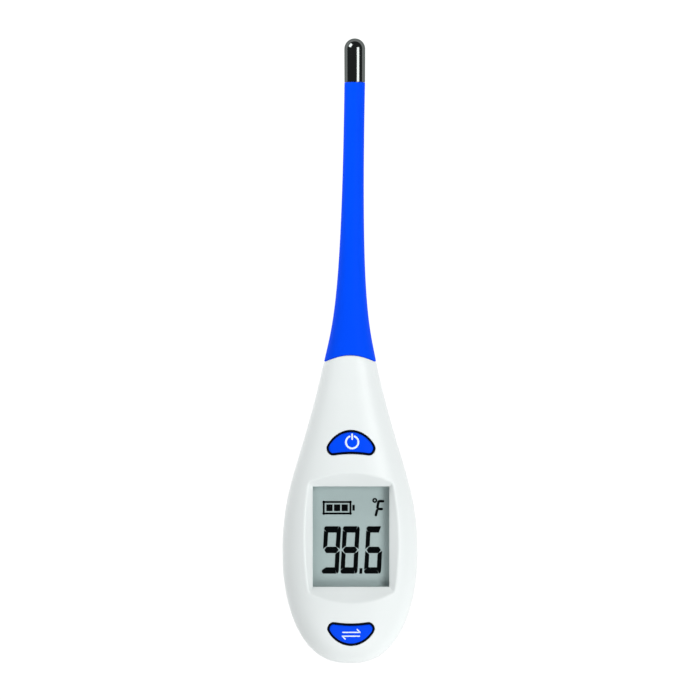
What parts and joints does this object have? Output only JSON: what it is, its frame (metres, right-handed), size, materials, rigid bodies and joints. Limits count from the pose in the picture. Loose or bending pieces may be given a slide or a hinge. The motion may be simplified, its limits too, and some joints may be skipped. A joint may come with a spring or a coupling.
{
  "type": "digital thermometer",
  "caption": "Digital clinical thermometer with a leaf-shaped handle, large display, two push buttons, a sliding battery door and a slim probe with a bending tip.",
  "frame": {"origin": "centre of the bounding box's base: on the rest plane, midway between heel and probe tip, on the handle's centre line", "axes": "+Y along the thermometer from the heel to the probe tip, +Z out of the display, +X to the right when the display is read with the tip up"},
  "size_m": [0.0284, 0.1312, 0.0144],
  "materials": {
    "white_shell": "satin",
    "blue_sleeve": "soft satin",
    "blue_button": "satin",
    "black_rubber": "matte",
    "steel": "polished",
    "lens": "clear",
    "lcd_glass": "smooth",
    "lcd_reflector_film": "silver film",
    "inner_plastic": "matte",
    "black_plastic": "satin",
    "circuit_board": "solder mask",
    "epoxy": "glossy",
    "resin": "semi-clear",
    "ceramic": "matte",
    "zebra_rubber": "matte",
    "brass": "bright",
    "wire_red": "insulation",
    "wire_black": "insulation"
  },
  "bodies": {
    "handle": {"battery_contact_negative": "steel", "battery_contact_positive": "steel", "board_screw_1": "steel", "board_screw_2": "steel", "board_screw_3": "steel", "board_screw_4": "steel", "capacitor_1": "ceramic", "capacitor_2": "ceramic", "coin_cell": "steel", "controller_blob": "epoxy", "display_gasket": "inner_plastic", "display_lens": "lens", "front_shell": "white_shell", "lcd_frame": "inner_plastic", "lcd_front_glass": "lcd_glass", "lcd_rear_glass": "lcd_glass", "lcd_reflector": "lcd_reflector_film", "main_board": "circuit_board", "mode_button_collar": "black_rubber", "mode_switch": "black_plastic", "piezo_ceramic": "ceramic", "piezo_disc": "brass", "piezo_lead_black": "wire_black", "piezo_lead_red": "wire_red", "power_button_collar": "black_rubber", "power_switch": "black_plastic", "probe_sleeve_base": "blue_sleeve", "rear_shell": "white_shell", "resistor_1": "black_plastic", "resistor_2": "black_plastic", "sensor_lead_left": "wire_red", "sensor_lead_right": "wire_black", "timing_crystal": "steel", "zebra_connector": "zebra_rubber"},
    "power_button_body": {"power_button": "blue_button", "power_switch_plunger": "inner_plastic"},
    "mode_button_body": {"mode_button": "blue_button", "mode_switch_plunger": "inner_plastic"},
    "battery_door_body": {"battery_door": "white_shell"},
    "probe_tip_body": {"probe_sleeve_tip": "blue_sleeve", "probe_tip_cap": "steel", "tip_potting": "resin", "thermistor_bead": "epoxy"}
  },
  "joints": [
    {"name": "power_button_press", "type": "slide", "parent": "handle", "child": "power_button_body", "axis": [0, 0, -1], "range_m": [0, 0.0004], "stiffness_N_per_m": 2000},
    {"name": "mode_button_press", "type": "slide", "parent": "handle", "child": "mode_button_body", "axis": [0, 0, -1], "range_m": [0, 0.0004], "stiffness_N_per_m": 2000},
    {"name": "battery_door_slide", "type": "slide", "parent": "handle", "child": "battery_door_body", "axis": [0, -1, 0], "range_m": [0, 0.04]},
    {"name": "probe_tip_bend", "type": "hinge", "parent": "handle", "child": "probe_tip_body", "pos_m": [0.0007, 0.0384, 0.007], "axis": [0, 0, 1], "range_deg": [-30, 30], "stiffness_Nm_per_rad": 0.02, "deforming": ["sensor_lead_left", "sensor_lead_right"]}
  ]
}
